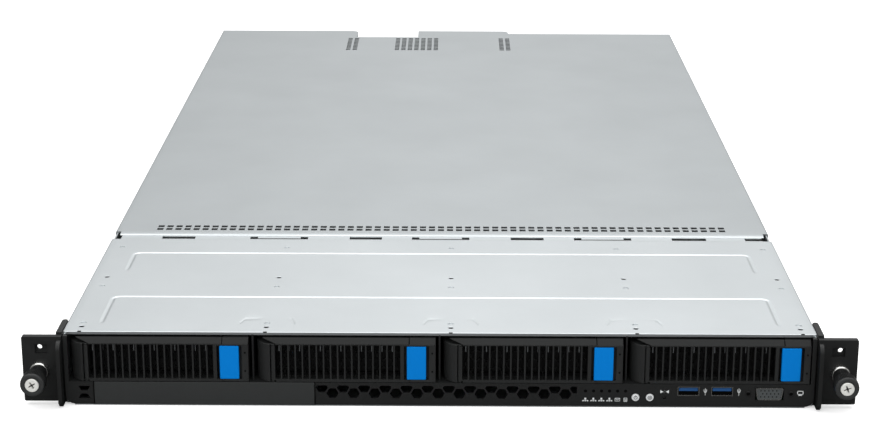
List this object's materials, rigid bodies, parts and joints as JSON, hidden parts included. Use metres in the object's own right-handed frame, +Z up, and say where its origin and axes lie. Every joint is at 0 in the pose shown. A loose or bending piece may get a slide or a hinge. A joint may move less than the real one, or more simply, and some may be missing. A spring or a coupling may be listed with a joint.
{
  "type": "rack server",
  "caption": "One-unit rack server: long flat steel chassis with drive trays in front, a sliding top cover and pull-out power supplies behind.",
  "frame": {"origin": "on the bottom face, at the middle of the width, in the plane where the rack ears meet the posts", "axes": "+X to the right as seen from the front, +Y to the back along the length, +Z up"},
  "size_m": [0.4852, 0.8906, 0.0439],
  "materials": {
    "zinc_steel": "satin zinc-plated sheet steel",
    "black_paint": "matt black powder coat",
    "black_plastic": "matt moulded",
    "blue_plastic": "satin moulded",
    "silver_plastic": "satin silver",
    "nickel": "nickel-plated steel",
    "aluminium": "cast or extruded, plain",
    "board_green": "solder-masked board"
  },
  "bodies": {
    "chassis": {"chassis_base": "zinc_steel", "rear_panel": "zinc_steel", "front_cover": "zinc_steel", "front_panel": "black_paint", "blanking_cover": "black_plastic", "drive_cage": "black_paint", "rack_ears": "black_paint", "thumbscrew_ferrules": "nickel", "control_board": "board_green", "front_usb_ports": "nickel", "front_video_port": "nickel", "backplane": "board_green", "fan_wall": "zinc_steel", "fan_frames": "black_plastic", "motherboard": "board_green", "memory_modules": "board_green", "heat_sink": "aluminium", "air_duct": "black_plastic", "riser_cards": "board_green", "slot_covers": "nickel", "rear_ports": "nickel", "supply_cage": "zinc_steel", "rail_studs": "nickel"},
    "sliding_cover": {"top_cover": "zinc_steel"},
    "left_thumbscrew": {"left_screw": "nickel", "left_knob": "black_plastic"},
    "right_thumbscrew": {"right_screw": "nickel", "right_knob": "black_plastic"},
    "power_button": {"power_button": "silver_plastic"},
    "locate_button": {"locate_button": "silver_plastic"},
    "reset_button": {"reset_button": "black_plastic"},
    "drive_tray_1": {"tray_1": "black_plastic", "drive_1": "aluminium"},
    "tray_lever_1": {"lever_1": "black_plastic"},
    "tray_latch_1": {"latch_1": "blue_plastic"},
    "drive_tray_2": {"tray_2": "black_plastic", "drive_2": "aluminium"},
    "tray_lever_2": {"lever_2": "black_plastic"},
    "tray_latch_2": {"latch_2": "blue_plastic"},
    "drive_tray_3": {"tray_3": "black_plastic", "drive_3": "aluminium"},
    "tray_lever_3": {"lever_3": "black_plastic"},
    "tray_latch_3": {"latch_3": "blue_plastic"},
    "drive_tray_4": {"tray_4": "black_plastic", "drive_4": "aluminium"},
    "tray_lever_4": {"lever_4": "black_plastic"},
    "tray_latch_4": {"latch_4": "blue_plastic"},
    "fan_rotor_1": {"impeller_1": "black_plastic"},
    "fan_rotor_2": {"impeller_2": "black_plastic"},
    "fan_rotor_3": {"impeller_3": "black_plastic"},
    "fan_rotor_4": {"impeller_4": "black_plastic"},
    "fan_rotor_5": {"impeller_5": "black_plastic"},
    "fan_rotor_6": {"impeller_6": "black_plastic"},
    "power_supply_1": {"supply_1": "zinc_steel"},
    "supply_release_1": {"supply_latch_1": "blue_plastic"},
    "supply_rotor_1": {"supply_impeller_1": "black_plastic"},
    "power_supply_2": {"supply_2": "zinc_steel"},
    "supply_release_2": {"supply_latch_2": "blue_plastic"},
    "supply_rotor_2": {"supply_impeller_2": "black_plastic"}
  },
  "joints": [
    {"name": "cover_slide", "type": "slide", "parent": "chassis", "child": "sliding_cover", "axis": [0, 1, 0], "range_m": [0, 0.0127]},
    {"name": "left_thumbscrew_turn", "type": "hinge", "parent": "chassis", "child": "left_thumbscrew", "pos_m": [-0.23255, -0.012, 0.0219], "axis": [0, 1, 0], "continuous": true},
    {"name": "right_thumbscrew_turn", "type": "hinge", "parent": "chassis", "child": "right_thumbscrew", "pos_m": [0.23255, -0.012, 0.0219], "axis": [0, 1, 0], "continuous": true},
    {"name": "power_button_press", "type": "slide", "parent": "chassis", "child": "power_button", "axis": [0, 1, 0], "range_m": [0, 0.0008], "stiffness_N_per_m": 900},
    {"name": "locate_button_press", "type": "slide", "parent": "chassis", "child": "locate_button", "axis": [0, 1, 0], "range_m": [0, 0.0008], "stiffness_N_per_m": 900},
    {"name": "reset_button_press", "type": "slide", "parent": "chassis", "child": "reset_button", "axis": [0, 1, 0], "range_m": [0, 0.0008], "stiffness_N_per_m": 900},
    {"name": "tray_1_slide", "type": "slide", "parent": "chassis", "child": "drive_tray_1", "axis": [0, -1, 0], "range_m": [0, 0.15]},
    {"name": "lever_1_swing", "type": "hinge", "parent": "drive_tray_1", "child": "tray_lever_1", "pos_m": [-0.20569, -0.0022, 0.0255], "axis": [0, 0, -1], "range_deg": [0, 50]},
    {"name": "latch_1_release", "type": "slide", "parent": "drive_tray_1", "child": "tray_latch_1", "axis": [1, 0, 0], "range_m": [0, 0.0015], "stiffness_N_per_m": 600},
    {"name": "tray_2_slide", "type": "slide", "parent": "chassis", "child": "drive_tray_2", "axis": [0, -1, 0], "range_m": [0, 0.15]},
    {"name": "lever_2_swing", "type": "hinge", "parent": "drive_tray_2", "child": "tray_lever_2", "pos_m": [-0.09685, -0.0022, 0.0255], "axis": [0, 0, -1], "range_deg": [0, 50]},
    {"name": "latch_2_release", "type": "slide", "parent": "drive_tray_2", "child": "tray_latch_2", "axis": [1, 0, 0], "range_m": [0, 0.0015], "stiffness_N_per_m": 600},
    {"name": "tray_3_slide", "type": "slide", "parent": "chassis", "child": "drive_tray_3", "axis": [0, -1, 0], "range_m": [0, 0.15]},
    {"name": "lever_3_swing", "type": "hinge", "parent": "drive_tray_3", "child": "tray_lever_3", "pos_m": [0.012, -0.0022, 0.0255], "axis": [0, 0, -1], "range_deg": [0, 50]},
    {"name": "latch_3_release", "type": "slide", "parent": "drive_tray_3", "child": "tray_latch_3", "axis": [1, 0, 0], "range_m": [0, 0.0015], "stiffness_N_per_m": 600},
    {"name": "tray_4_slide", "type": "slide", "parent": "chassis", "child": "drive_tray_4", "axis": [0, -1, 0], "range_m": [0, 0.15]},
    {"name": "lever_4_swing", "type": "hinge", "parent": "drive_tray_4", "child": "tray_lever_4", "pos_m": [0.12083, -0.0022, 0.0255], "axis": [0, 0, -1], "range_deg": [0, 50]},
    {"name": "latch_4_release", "type": "slide", "parent": "drive_tray_4", "child": "tray_latch_4", "axis": [1, 0, 0], "range_m": [0, 0.0015], "stiffness_N_per_m": 600},
    {"name": "fan_1_spin", "type": "hinge", "parent": "chassis", "child": "fan_rotor_1", "pos_m": [-0.1725, 0.228, 0.0212], "axis": [0, 1, 0], "continuous": true},
    {"name": "fan_2_spin", "type": "hinge", "parent": "chassis", "child": "fan_rotor_2", "pos_m": [-0.1035, 0.228, 0.0212], "axis": [0, 1, 0], "continuous": true},
    {"name": "fan_3_spin", "type": "hinge", "parent": "chassis", "child": "fan_rotor_3", "pos_m": [-0.0345, 0.228, 0.0212], "axis": [0, 1, 0], "continuous": true},
    {"name": "fan_4_spin", "type": "hinge", "parent": "chassis", "child": "fan_rotor_4", "pos_m": [0.0345, 0.228, 0.0212], "axis": [0, 1, 0], "continuous": true},
    {"name": "fan_5_spin", "type": "hinge", "parent": "chassis", "child": "fan_rotor_5", "pos_m": [0.1035, 0.228, 0.0212], "axis": [0, 1, 0], "continuous": true},
    {"name": "fan_6_spin", "type": "hinge", "parent": "chassis", "child": "fan_rotor_6", "pos_m": [0.1725, 0.228, 0.0212], "axis": [0, 1, 0], "continuous": true},
    {"name": "supply_1_slide", "type": "slide", "parent": "chassis", "child": "power_supply_1", "axis": [0, 1, 0], "range_m": [0, 0.18]},
    {"name": "supply_latch_1_release", "type": "slide", "parent": "power_supply_1", "child": "supply_release_1", "axis": [-1, 0, 0], "range_m": [0, 0.0024], "stiffness_N_per_m": 900},
    {"name": "supply_fan_1_spin", "type": "hinge", "parent": "power_supply_1", "child": "supply_rotor_1", "pos_m": [0.08432, 0.815, 0.0213], "axis": [0, 1, 0], "continuous": true},
    {"name": "supply_2_slide", "type": "slide", "parent": "chassis", "child": "power_supply_2", "axis": [0, 1, 0], "range_m": [0, 0.18]},
    {"name": "supply_latch_2_release", "type": "slide", "parent": "power_supply_2", "child": "supply_release_2", "axis": [-1, 0, 0], "range_m": [0, 0.0024], "stiffness_N_per_m": 900},
    {"name": "supply_fan_2_spin", "type": "hinge", "parent": "power_supply_2", "child": "supply_rotor_2", "pos_m": [0.16207, 0.815, 0.0213], "axis": [0, 1, 0], "continuous": true}
  ]
}
